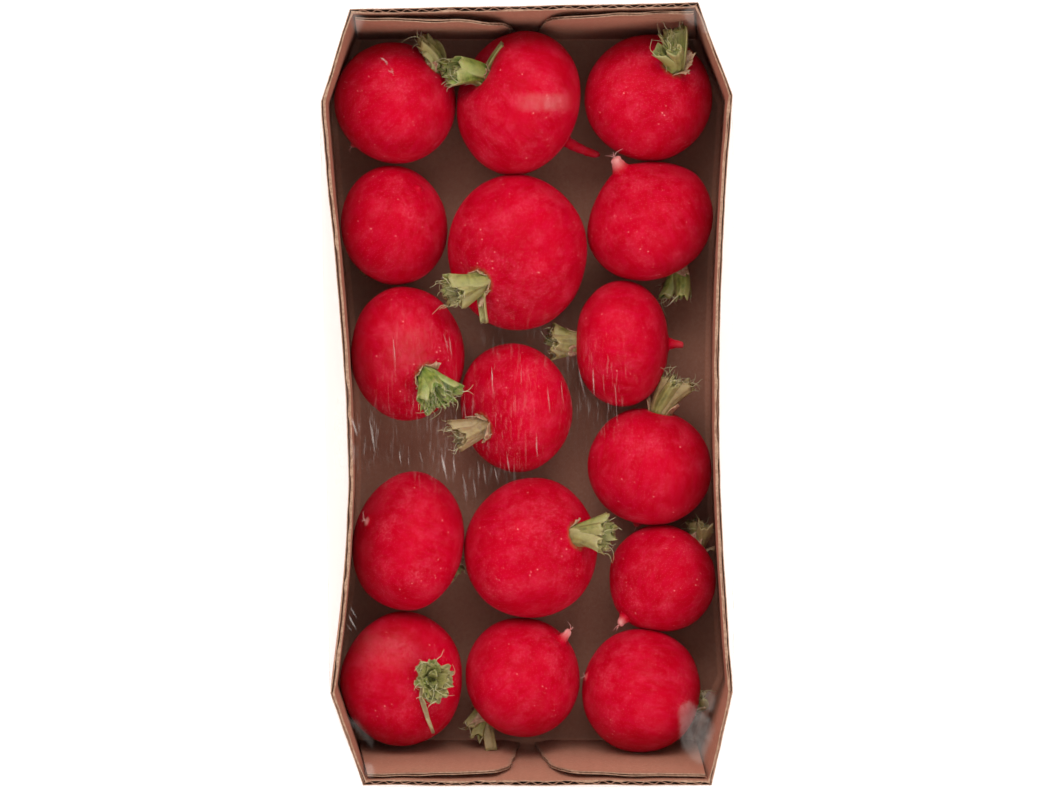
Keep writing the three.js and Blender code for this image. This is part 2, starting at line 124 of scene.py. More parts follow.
RADISHES = [{**dict(zip(COLUMNS, row)), **row[-1]} for row in RADISHES]


def draw(a, b):
    """A fixed number from 0 to 1 for a pair of numbers, as if drawn by chance."""
    s = math.sin(a * 12.9898 + b * 78.233) * 43758.5453
    return s - math.floor(s)


def unit(v):
    """A direction of length one."""
    v = np.asarray(v, float)
    return v / np.linalg.norm(v)


def ease(x, low, high):
    """A smooth step from 0 at one value to 1 at the other."""
    t = np.clip((x - low) / (high - low), 0, 1)
    return t * t * (3 - 2 * t)


def rough(p, size, seed=0.0):
    """Smooth noise, about -1 to 1, with features of a size in millimetres."""
    return noise.noise(Vector((p[0] / size + seed, p[1] / size - seed * 1.7, p[2] / size + seed * 0.6)))


def placed(name, data):
    """A new object in the scene."""
    obj = bpy.data.objects.new(name, data)
    bpy.context.scene.collection.objects.link(obj)
    return obj


class Build:
    """Collects the points, faces and per-point values of one object, in millimetres."""

    def __init__(self):
        self.points, self.faces, self.values = [], [], {}
        self.count = 0

    def add(self, points, faces, **values):
        points = np.asarray(points, float)
        for key in set(values) | set(self.values):
            kept = self.values.setdefault(key, np.zeros(self.count))
            added = np.broadcast_to(values.get(key, 0.0), len(points))
            self.values[key] = np.concatenate([kept, added])
        self.faces += [[i + self.count for i in face] for face in faces]
        self.points.append(points)
        self.count += len(points)

    def make(self, name, material, turn=None, centre=(0, 0, 0), sharp=None):
        """The object; with a turn, its points' places in its own frame are kept for its material."""
        mesh = bpy.data.meshes.new(name)
        points = np.concatenate(self.points)
        mesh.from_pydata((points * MM).tolist(), [], self.faces)
        mesh.validate()
        if turn is not None:
            own = (points @ turn * MM).astype(np.float32)
            attribute = mesh.attributes.new("own", "FLOAT_VECTOR", "POINT")
            attribute.data.foreach_set("vector", own.ravel())
        for key, values in self.values.items():
            attribute = mesh.attributes.new(key, "FLOAT", "POINT")
            attribute.data.foreach_set("value", values.astype(np.float32))
        mesh.polygons.foreach_set("use_smooth", [True] * len(mesh.polygons))
        if sharp is not None:
            mesh.set_sharp_from_angle(angle=math.radians(sharp))
        mesh.materials.append(material)
        obj = placed(name, mesh)
        obj.location = Vector(centre) * MM
        return obj


def grid_faces(rows, columns, wrap=False):
    """Quads between rows of points; wrap joins the last column to the first."""
    faces = []
    for r in range(rows - 1):
        for c in range(columns if wrap else columns - 1):
            d = (c + 1) % columns
            a, b = r * columns, (r + 1) * columns
            faces.append((a + c, a + d, b + d, b + c))
    return faces


def closed_rings(rings):
    """A closed surface through rings of points, with a fan at both ends."""
    rings = np.asarray(rings, float)
    rows, columns = rings.shape[:2]
    points = np.concatenate([rings.reshape(-1, 3), [rings[0].mean(0)], [rings[-1].mean(0)]])
    faces = grid_faces(rows, columns, wrap=True)
    low, high = rows * columns, rows * columns + 1
    for c in range(columns):
        d = (c + 1) % columns
        faces.append((d, c, low))
        faces.append(((rows - 1) * columns + c, (rows - 1) * columns + d, high))
    return points, faces


def plate(grid, thickness):
    """A closed thin plate about a grid of points, with half its thickness to each side."""
    grid = np.asarray(grid, float)
    rows, columns = grid.shape[:2]
    across = np.gradient(grid, axis=1)
    along = np.gradient(grid, axis=0)
    normal = np.cross(across, along)
    normal /= np.maximum(np.linalg.norm(normal, axis=2, keepdims=True), 1e-9)
    front, back = grid + normal * thickness / 2, grid - normal * thickness / 2
    points = np.concatenate([front.reshape(-1, 3), back.reshape(-1, 3)])
    n = rows * columns
    faces = grid_faces(rows, columns)
    faces += [tuple(i + n for i in reversed(face)) for face in grid_faces(rows, columns)]
    edge = list(range(columns)) + [r * columns + columns - 1 for r in range(1, rows)]
    edge += [(rows - 1) * columns + c for c in range(columns - 2, -1, -1)]
    edge += [r * columns for r in range(rows - 2, 0, -1)]
    for i, a in enumerate(edge):
        b = edge[(i + 1) % len(edge)]
        faces.append((b, a, a + n, b + n))
    return points, faces


def smooth_curve(points, count):
    """A curve through the given points, as so many points."""
    p = np.asarray(points, float)
    p = np.concatenate([[2 * p[0] - p[1]], p, [2 * p[-1] - p[-2]]])
    steps = np.sqrt(np.maximum(np.linalg.norm(np.diff(p, axis=0), axis=1), 1e-9))
    t = np.concatenate([[0], np.cumsum(steps)])
    lengths = np.linalg.norm(np.diff(p[1:-1], axis=0), axis=1)
    reach = np.concatenate([[0], np.cumsum(lengths)])

    def mix(a, b, low, high, u):
        """The point at u on the line that is at a when u is low and at b when it is high."""
        return (high - u) / (high - low) * a + (u - low) / (high - low) * b

    out = []
    for s in np.linspace(0, reach[-1], count):
        i = min(int(np.searchsorted(reach, s, side="right")) - 1, len(lengths) - 1)
        u = t[i + 1] + (s - reach[i]) / lengths[i] * (t[i + 2] - t[i + 1])
        a1, a2, a3 = (mix(p[k], p[k + 1], t[k], t[k + 1], u) for k in range(i, i + 3))
        b1, b2 = mix(a1, a2, t[i], t[i + 2], u), mix(a2, a3, t[i + 1], t[i + 3], u)
        out.append(mix(b1, b2, t[i + 1], t[i + 2], u))
    return np.array(out)


# Materials


class Nodes:
    """Short calls for building one material's nodes."""

    def __init__(self, name):
        self.material = bpy.data.materials.new(name)
        self.material.use_nodes = True
        self.tree = self.material.node_tree
        self.tree.nodes.clear()
        self.output = self.tree.nodes.new("ShaderNodeOutputMaterial")
        self.where = self.tree.nodes.new("ShaderNodeTexCoord").outputs["Object"]

    def put(self, socket, value):
        """Feed a socket from another one, or set the value it has all over."""
        if isinstance(value, bpy.types.NodeSocket):
            self.tree.links.new(value, socket)
        elif value is not None:
            opaque = socket.type == "RGBA" and len(value) == 3
            socket.default_value = (*value, 1) if opaque else value

    def node(self, kind, out=0, settings=(), **inputs):
        """One output of a new node; _0, _1 and so on name its inputs by number."""
        made = self.tree.nodes.new("ShaderNode" + kind)
        for key, value in dict(settings).items():
            setattr(made, key, value)
        for key, value in inputs.items():
            self.put(made.inputs[int(key[1:]) if key[0] == "_" else key.replace("_", " ")], value)
        return made.outputs[out]

    def value(self, name):
        """A value that the mesh has at each point."""
        return self.node("Attribute", 2, {"attribute_name": name})

    def math(self, operation, a, b=None, clamp=False):
        return self.node("Math", 0, {"operation": operation, "use_clamp": clamp}, _0=a, _1=b)

    def product(self, a, b, clamp=False):
        return self.math("MULTIPLY", a, b, clamp)

    def scaled(self, factors):
        return self.node("Mapping", Vector=self.where, Scale=factors)

    def noise(self, size, detail=2.0, roughness=0.5, where=None):
        """Noise with features of a size in millimetres."""
        return self.node("TexNoise", "Fac", Vector=where or self.where, Scale=1 / (size * MM),
                         Detail=detail, Roughness=roughness)

    def ramp(self, value, *stops):
        made = self.tree.nodes.new("ShaderNodeValToRGB")
        self.put(made.inputs[0], value)
        while len(made.color_ramp.elements) < len(stops):
            made.color_ramp.elements.new(0.5)
        for element, (place, colour) in zip(made.color_ramp.elements, stops):
            element.position = place
            element.color = (*colour, 1) if isinstance(colour, tuple) else (colour, colour, colour, 1)
        return made.outputs[0]

    def blend(self, factor, a, b):
        """From one colour to another by a factor."""
        return self.node("Mix", 2, {"data_type": "RGBA"}, _0=factor, _6=a, _7=b)

    def bump(self, height, strength, distance, under=None):
        return self.node("Bump", Height=height, Strength=strength, Distance=distance * MM, Normal=under)

    def finish(self, shader):
        self.tree.links.new(shader, self.output.inputs["Surface"])
        return self.material

    def principled(self, **inputs):
        return self.finish(self.node("BsdfPrincipled", **inputs))


def radish_skin():
    n = Nodes("radish_skin")
    n.where = n.node("Attribute", 1, {"attribute_name": "own"})
    along = n.scaled((1, 0.16, 1))
    streak = n.noise(0.9, 3, 0.6, where=along)
    grain = n.noise(0.4, 2, 0.6)
    red = n.ramp(n.noise(9, 2, 0.5), (0.3, (0.42, 0.0001, 0.008)), (0.7, (0.54, 0.0002, 0.015)))
    red = n.blend(n.ramp(streak, (0.42, 0.0), (0.78, 0.5)), red, (0.62, 0.006, 0.05))
    # Pale speckles in patches, partly the skin's own bloom and partly painted sheen that stands in for
    # soft grainy highlights; and a few larger pale flecks.
    bloom_and_sheen_patch = n.ramp(n.noise(5, 5, 0.68), (0.46, 0.0), (0.76, 1.0))
    bloom_and_sheen = n.product(n.ramp(grain, (0.46, 0.12), (0.66, 1.0)), bloom_and_sheen_patch)
    red = n.blend(n.product(bloom_and_sheen, 0.5), red, (0.78, 0.11, 0.18))
    flecks = n.node("TexVoronoi", "Distance", Vector=n.scaled((1, 1.5, 1)), Scale=1 / (1.9 * MM))
    dot = n.ramp(flecks, (0.07, 1.0), (0.15, 0.0))
    sparse = n.ramp(n.noise(4, 1, 0.5), (0.52, 0.0), (0.66, 1.0))
    red = n.blend(n.product(n.product(dot, sparse), 0.7), red, (0.80, 0.28, 0.27))
    scarred = n.ramp(n.noise(1.1, 2, 0.6), (0.35, 0.3), (0.6, 1.0))
    crown = n.product(n.value("crown"), scarred, clamp=True)
    red = n.blend(crown, red, (0.34, 0.17, 0.06))
    striped = n.ramp(n.noise(1.2, 2, 0.6, where=along), (0.3, 0.55), (0.6, 1.0))
    pale = n.product(n.value("tail"), striped, clamp=True)
    red = n.blend(pale, red, (0.74, 0.42, 0.38))
    gloss = n.ramp(n.noise(0.6, 3, 0.7), (0.3, 0.38), (0.75, 0.62))
    lump = n.bump(n.noise(3.2, 3, 0.5), 0.35, 0.35)
    skin = n.bump(n.math("ADD", streak, grain), 0.5, 0.04, under=lump)
    return n.principled(
        Base_Color=red, Roughness=gloss, Normal=skin, IOR=1.4, Specular_IOR_Level=0.05,
        Subsurface_Weight=0.1, Subsurface_Radius=(1.0, 0.1, 0.06), Subsurface_Scale=1.2 * MM,
    )


def leaf_stalk():
    n = Nodes("leaf_stalk")
    fresh, edge, along, dry, white = (n.value(k) for k in ("fresh", "edge", "along", "dry", "white"))
    fine = n.noise(0.5, 3, 0.6)
    pale = n.blend(fresh, (0.285, 0.215, 0.073), (0.235, 0.31, 0.043))
    deep = n.blend(fresh, (0.145, 0.098, 0.031), (0.081, 0.162, 0.011))
    colour = n.blend(n.ramp(n.noise(1.5, 2, 0.5), (0.36, 0.0), (0.64, 1.0)), pale, deep)
    ribs = n.blend(fresh, (0.38, 0.295, 0.12), (0.345, 0.405, 0.095))
    colour = n.blend(n.product(n.value("rib"), 0.3), colour, ribs)
    rims = n.blend(fresh, (0.42, 0.305, 0.15), (0.40, 0.435, 0.15))
    colour = n.blend(n.product(edge, 0.7), colour, rims)
    torn = n.product(n.ramp(along, (0.74, 0.0), (1.0, 1.0)), n.ramp(fine, (0.35, 0.1), (0.6, 0.8)))
    colour = n.blend(torn, colour, (0.42, 0.35, 0.15))
    husk = n.blend(n.ramp(fine, (0.4, 0.0), (0.62, 1.0)), (0.56, 0.38, 0.24), (0.40, 0.18, 0.12))
    colour = n.blend(dry, colour, husk)
    colour = n.blend(white, colour, (0.60, 0.54, 0.33))
    ridge = n.bump(n.math("ADD", n.value("rib"), fine), 0.6, 0.12)
    return n.principled(
        Base_Color=colour, Roughness=0.6, Normal=ridge, Subsurface_Weight=0.2,
        Subsurface_Radius=(0.6, 0.8, 0.2), Subsurface_Scale=0.8 * MM,
    )


def kraft_board():
    n = Nodes("kraft_board")
    # The flutes show faintly through the liners: upright on the end walls, level on the others.
    turns = 2 * math.pi / (FLUTE * MM)
    across = n.node("SeparateXYZ", 0, Vector=n.where)
    height = n.node("SeparateXYZ", 2, Vector=n.where)
    level = n.value("level")
    upright = n.product(n.math("SINE", n.product(across, turns)), n.math("SUBTRACT", 1.0, level))
    lying = n.product(n.math("SINE", n.product(height, turns)), level)
    flutes = n.math("ADD", upright, lying)
    pulp = n.noise(0.7, 4, 0.65)
    patches = n.noise(14, 2, 0.5)
    colour = n.ramp(pulp, (0.3, (0.405, 0.18, 0.113)), (0.7, (0.50, 0.24, 0.162)))
    colour = n.blend(n.ramp(patches, (0.3, 0.0), (0.7, 0.35)), colour, (0.44, 0.19, 0.125))
    hairs = n.noise(0.28, 2, 0.6, where=n.scaled((1, 0.22, 0.6)))
    colour = n.blend(n.ramp(hairs, (0.62, 0.0), (0.74, 0.45)), colour, (0.32, 0.14, 0.09))
    cut = n.blend(n.ramp(pulp, (0.4, 0.0), (0.6, 1.0)), (0.27, 0.155, 0.10), (0.44, 0.28, 0.19))
    colour = n.blend(n.product(n.value("cut"), 0.85), colour, cut)
    # Painted shade: darker in the groove of the cut edge, on the fluted layers and all over the tray's
    # floor.
    colour = n.blend(n.value("deep"), colour, (0.13, 0.07, 0.052))
    colour = n.blend(n.ramp(flutes, (0.0, 0.0), (1.0, 0.10)), colour, (0.36, 0.16, 0.10))
    skin = n.bump(n.math("ADD", pulp, n.product(flutes, 0.5)), 0.5, 0.07)
    return n.principled(Base_Color=colour, Roughness=0.88, Normal=skin, Specular_IOR_Level=0.2)


def clear_film():
    n = Nodes("clear_film")
    # Seen straight on the film is clear, and it shines only at a slant.
    slant = n.math("POWER", n.node("LayerWeight", 1, Blend=0.5), 3.0)
    shine = n.math("ADD", n.product(slant, 0.22), 0.0017)
    ripple = n.noise(2.2, 3, 0.55, where=n.scaled((1, 0.25, 1)))
    fine = n.bump(ripple, 0.5, 0.05)
    clear = n.node("BsdfTransparent", Color=(0.992, 0.99, 0.985, 1))
    gloss = n.node("BsdfGlossy", Color=(1, 1, 1, 1), Roughness=0.12, Normal=fine)
    # A pale diffuse layer: a little real cloudiness of the film, and painted glare in patches, streaks
    # and corner folds, and painted highlights along creases and side folds.
    haze_and_glare_white = n.node("BsdfDiffuse", Color=(0.87, 0.80, 0.74, 1))
    hair = n.ramp(n.noise(0.55, 2, 0.6, where=n.scaled((1, 0.1, 1))), (0.56, 0.0), (0.70, 1.0))
    patches = n.ramp(n.noise(1.6, 3, 0.6, where=n.scaled((1, 0.5, 1))), (0.3, 0.35), (0.7, 1.0))
    glare_streaks = n.product(n.value("streak"), hair)
    white = n.math("ADD", n.product(n.value("haze"), patches), glare_streaks, clamp=True)
    sheet = n.node("MixShader", _0=shine, _1=clear, _2=gloss)
    return n.finish(n.node("MixShader", _0=white, _1=sheet, _2=haze_and_glare_white))


def pale_floor():
    n = Nodes("pale_floor")
    return n.principled(Base_Color=(0.96, 0.96, 0.955), Roughness=0.9, Specular_IOR_Level=0.0,
                        Emission_Color=(1, 1, 0.99), Emission_Strength=0.32)


SKIN, LEAF, KRAFT, CLEAR = radish_skin(), leaf_stalk(), kraft_board(), clear_film()


def fit_out(obj, slot, *nodes):
    """Fix an object to the pack and hide the solids that it stands for; the slot is not used."""
    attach(obj, "root")
    if nodes:
        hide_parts(*nodes)


def corners_at(level):
    """The tray's eight corners at a level from 0, the base, to 1, the rim."""
    return [np.array(b) * (1 - level) + np.array(r) * level for b, r in zip(BASE, RIM)]


def outline(level, distance=0.0, bow=1.0, soften=1):
    """The tray's outline at a level from 0, the base, to 1, the rim, drawn in by a distance."""
    corners = corners_at(level)
    inward = []
    for a, b in zip(corners, corners[1:] + corners[:1]):
        dx, dy = unit(b - a)
        inward.append(np.array([-dy, dx]))
    for i, (last, here) in enumerate(zip(inward[-1:] + inward[:-1], inward)):
        corners[i] = corners[i] + (last + here) * distance / (1 + last.dot(here))
    points = []
    for i, steps in enumerate(SIDE_STEPS):
        a, b = corners[i], corners[(i + 1) % 8]
        for s in range(steps):
            along = s / steps
            p = a + (b - a) * along
            if i in BOWS:
                depth, skew = BOWS[i]
                p = p + [math.copysign(depth, -a[0]) * bow * math.sin(math.pi * along ** skew), 0]
            points.append(p)
    points = np.array(points)
    for _ in range(soften):
        points = (np.roll(points, 1, 0) + 2 * points + np.roll(points, -1, 0)) / 4
    return points


def nudged(points, distance):
    """Points of an outline moved in by small distances of their own."""
    step = np.roll(points, -1, 0) - np.roll(points, 1, 0)
    step /= np.linalg.norm(step, axis=1, keepdims=True)
    distance = np.broadcast_to(distance, len(points))[:, None]
    return points + np.column_stack([-step[:, 1], step[:, 0]]) * distance


INSIDE = [outline(level / 12, BOARD + 0.3) for level in range(13)]


def kept_inside(points):
    """Points of a thin piece that reach the tray or the film are laid against it."""
    points = points.copy()
    points[:, 2] = np.clip(points[:, 2], FLOOR + 0.3, TRAY_RIM - 0.5)
    for i, p in enumerate(points):
        wall = INSIDE[int(round((p[2] - TRAY_FOOT) / TRAY_HEIGHT * 12))]
        nearest = int(np.argmin(((wall - p[:2]) ** 2).sum(1)))
        ahead = wall[(nearest + 1) % len(wall)] - wall[nearest - 1]
        inward = np.array([-ahead[1], ahead[0]]) / np.linalg.norm(ahead)
        depth = (p[:2] - wall[nearest]).dot(inward)
        if depth < 0:
            points[i, :2] -= inward * depth
    return points


# Radishes


def crown_axis(r):
    """The direction of a radish's crown."""
    b, e = math.radians(r["bearing"]), math.radians(r["rise"])
    return np.array([math.cos(e) * math.cos(b), math.cos(e) * math.sin(b), math.sin(e)])


def crown_turn(axis):
    """Columns are the world directions of a radish's own X, Y and Z, where Y is the crown's axis."""
    side = unit(np.cross([0, 0, 1], axis))
    return np.column_stack([side, axis, np.cross(side, axis)])


def lumps(angle, index):
    """How far a radish departs from round at an angle about its axis, as a share."""
    waves = ((0.022, 2), (0.014, 3), (0.006, 5))
    return sum(
        size * np.cos(turns * angle + 6.28 * draw(index, k)) for k, (size, turns) in enumerate(waves, 1)
    )


def radish_profile(r):
    """Radius and height of a radish from its tail's tip to the dimple at its crown."""
    half, tail, thick = r["long"] / 2, r["tail"], r["thick"]
    taper, dimple = r.get("taper", 0), r.get("dimple", SHALLOW_DIMPLE)
    points = [(thick * 0.14, -half - tail), (thick * 0.28, -half - tail * 0.96),
              (thick * 0.42, -half - tail * 0.5), (thick * 0.66, -half - tail * 0.05)]
    for angle in (160, 141, 121, 101, 81, 61, 43, 28):
        a = math.radians(angle)
        narrow = min(max((angle - 90) / 70, 0), 1) ** 2
        points.append((r["across"] / 2 * math.sin(a) ** 0.93 * (1 - taper * narrow),
                       half * math.cos(a) * (1 + 0.12 * taper * narrow)))
    points += [(CROWN_RADIUS * 1.25, half - dimple * 0.75), (CROWN_RADIUS * 0.8, half - dimple),
               (0.3, half - dimple)]
    return smooth_curve(points, 84)


def radish(r, index):
    """The radish's body, in its own frame with its crown up +Y, and its place in the pack."""
    axis = crown_axis(r)
    turn = crown_turn(axis)
    half = r["long"] / 2
    profile = radish_profile(r)
    around = np.linspace(0, 2 * math.pi, ROUND_STEPS, endpoint=False)
    rings, tail, crown = [], [], []
    for radius, height in profile:
        share = radius / (r["across"] / 2)
        swell = radius * (1 + share * lumps(around, index))
        level = np.full(ROUND_STEPS, height)
        ring = np.column_stack([np.cos(around) * swell, level, np.sin(around) * swell])
        near_crown = ease(height, half * 0.55, half * 0.97)
        near_tail = ease(-height, half * 0.8, half * 1.02)
        for i, p in enumerate(ring):
            out = np.array([math.cos(around[i]), 0, math.sin(around[i])])
            step = 0.22 * rough(p, 8, index) + 0.05 * rough(p, 2.4, index + 3)
            step *= ease(radius, 0.6, 4)
            folds = math.cos(11 * around[i] + 2.5 * rough(p, 5, index + 7))
            step -= near_crown * ease(radius, 1.6, 3.4) * (0.10 + 0.12 * folds)
            wrinkle = math.sin(height * 5 + 2 * rough(p, 3, index))
            step += near_tail * 0.10 * wrinkle * ease(radius, 0.3, 1.2)
            ring[i] = p + out * step
        if height < -half:
            bend = ((-half - height) / max(r["tail"], 1)) ** 2
            aside = np.array([draw(index, 51) - 0.5, 0, draw(index, 52) - 0.5])
            ring += aside * bend * min(r["tail"], 5) * 0.35
            ring += turn.T @ r.get("hook", (0, 0, 0)) * bend
        rings.append(ring)
        whitish = r["pale"] * ease(-height, half + r["tail"] * 0.15, half + r["tail"])
        tail.append(np.full(ROUND_STEPS, whitish))
        reach = CROWN_RADIUS * 1.45
        crown.append(np.full(ROUND_STEPS, 0.9 * (1 - ease(radius, reach * 0.62, reach)) * (height > 0)))
    points, faces = closed_rings(rings)
    own = points @ turn.T
    wide, long = r.get("stretch", (1, 1))
    own = own * [wide, long, 1]
    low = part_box(f"radish_{index:02d}")[0][2] / MM
    centre = np.array([r["x"], r["y"], low - own[:, 2].min() - 0.12])
    build = Build()
    tip = rings[0].mean(0) @ turn.T * [wide, long, 1]
    for k in range(int(6 * r["pale"])):
        away = np.array([draw(index, 900 + k), draw(index, 910 + k), draw(index, 920 + k)]) - 0.5
        length = 1.0 + 1.6 * draw(index, 930 + k)
        add_fibre(build, tip, away * 1.4 - axis, length, 0.09, index * 70 + k, tail=1.0)
    tail = np.concatenate([np.ravel(tail), [tail[0][0], 0]])
    crown = np.concatenate([np.ravel(crown), [0, crown[-1][0]]])
    build.add(own, [tuple(reversed(f)) for f in faces], tail=tail, crown=crown)
    obj = build.make(f"radish_body_{index:02d}", SKIN, turn=turn, centre=centre)
    fit_out(obj, "radish_skin", f"radish_{index:02d}")
    return centre, axis


# Leaf stalks


def bend_path(root, axis, heading, length, straight, t):
    """A path that leaves along an axis for a share of its length and bends to its heading."""
    rise = length * straight
    knee = root + axis * rise
    tip = knee + heading * (length - rise)
    t = np.asarray(t)[:, None]
    return (1 - t) ** 2 * root + 2 * t * (1 - t) * knee + t ** 2 * tip


def add_stalk(
        build, root, axis, outward, heading, length, width, thick, straight, seed, fresh,
        dry=0.0, sway=(0, 0, 0), end=0.8, tear=1.3,
):
    """A cut leaf stalk: a ribbed channel in section, torn at its end and hollow there."""
    steps, across = 12, 13
    t = np.linspace(0, 1, steps + 1)
    wander = unit(np.cross(heading, outward) + 0.3 * outward) * (draw(seed, 1) - 0.5) * 0.9
    middle = bend_path(root, axis, heading, length, straight, t) + (t ** 2)[:, None] * wander
    middle += np.sin(math.pi * t)[:, None] * np.asarray(sway, float)
    forward = np.gradient(middle, axis=0)
    flat_side = unit(np.cross(axis, outward))
    u = np.linspace(-1, 1, across)
    teeth = np.array([draw(seed, 60 + i) for i in range(2 * across)])
    teeth = (np.roll(teeth, 1) + 2 * teeth + np.roll(teeth, -1)) / 4 - 0.5
    rings, edge, along, rib = [], [], [], []
    for s in range(steps + 1):
        f = unit(forward[s])
        side = unit(flat_side - f * flat_side.dot(f))
        flat = np.cross(f, side)
        if flat.dot(outward) < 0:
            flat = -flat
        shrink = 1 - (1 - end) * t[s]
        curl = 0.3 * width * (0.5 + 0.9 * t[s]) * shrink
        w = width * shrink / 2 * (1 + 0.1 * math.sin(6 * t[s] + seed))
        ribs = 0.11 * np.cos(u * 10.5) * shrink
        body = thick * shrink * (0.15 + 0.35 * (1 - u ** 2))
        bowl = curl * 0.35 - curl * u * u
        outer = middle[s] + np.outer(u * w, side) + np.outer(bowl + body + ribs, flat)
        inner = (middle[s] + np.outer(u * w, side) + np.outer(bowl - body, flat))[::-1]
        ring = np.concatenate([outer, inner]) + f * (teeth * 2 * tear * ease(t[s], 0.7, 1))[:, None]
        rings.append(ring)
        edge.append(np.abs(np.concatenate([u, u[::-1]])) ** 3)
        along.append(np.full(2 * across, t[s]))
        rib.append(np.concatenate([np.cos(u * 10.5), np.cos(u[::-1] * 21)]) * 0.5 + 0.5)
    f = unit(forward[-1])
    hollow = rings[-1].mean(0) + (rings[-1] - rings[-1].mean(0)) * 0.6 - f * 0.9
    rings.append(hollow)
    points, faces = closed_rings(rings)
    # The hollow and the middles of both ends come last.
    plain = np.zeros(2 * across + 2)
    along = np.concatenate([np.ravel(along), plain + 0.5])
    along[-2] = 0
    build.add(
        points, faces, edge=np.concatenate([np.ravel(edge), plain]), along=along,
        rib=np.concatenate([np.ravel(rib), plain]), fresh=fresh, dry=dry,
    )
    return rings[-2], f


def add_fibre(build, start, direction, length, radius, seed, **values):
    """A thin torn fibre, bent over."""
    chance = [draw(seed, 1) - 0.5, draw(seed, 2) - 0.5, draw(seed, 3) - 0.4]
    sideways = unit(np.cross(direction, chance))
    t = np.linspace(0, 1, 9)[:, None]
    curl = (draw(seed, 4) - 0.5) * 2.2
    path = start + unit(direction) * t * length * (1 - 0.35 * t) + sideways * t ** 2 * length * curl
    wave = np.sin(t * (4 + 3 * draw(seed, 5)) + seed)
    path += np.cross(unit(direction), sideways) * wave * length * 0.12 * t
    forward = np.gradient(path, axis=0)
    rings = []
    for i in range(9):
        f = unit(forward[i])
        a = unit(np.cross(f, [0.3, 0.5, 0.81]))
        b = np.cross(f, a)
        r = radius * (1 - 0.7 * i / 8)
        rings.append([path[i] + (a * math.cos(k) + b * math.sin(k)) * r for k in (0, 1.57, 3.14, 4.71)])
    points, faces = closed_rings(rings)
    build.add(points, faces, **values)


def add_bract(build, start, outward, axis, length, width, seed):
    """A dry papery scale at the foot of the stalks, curled back, with a ragged end."""
    side = unit(np.cross(axis, outward))
    grid = []
    for i in range(8):
        t = i / 7
        row = []
        for j in range(6):
            k = j / 5 * 2 - 1
            w = width / 2 * (1 - 0.55 * t ** 1.5) * (1 + 0.2 * math.sin(5 * t + seed))
            rag = (draw(seed, 80 + j) - 0.5) * 0.55 * ease(t, 0.5, 1)
            out = 0.5 + 0.75 * t * t * (0.3 + draw(seed, 5))
            rise = length * t * (1 + rag)
            away = out * length * 0.42 * t + 0.3 * k * k - 0.25
            row.append(start + axis * rise * 0.8 + outward * away + side * w * k)
        grid.append(row)
    points, faces = plate(grid, 0.14)
    build.add(points, faces, dry=0.7 + 0.3 * draw(seed, 9), fresh=0.3)


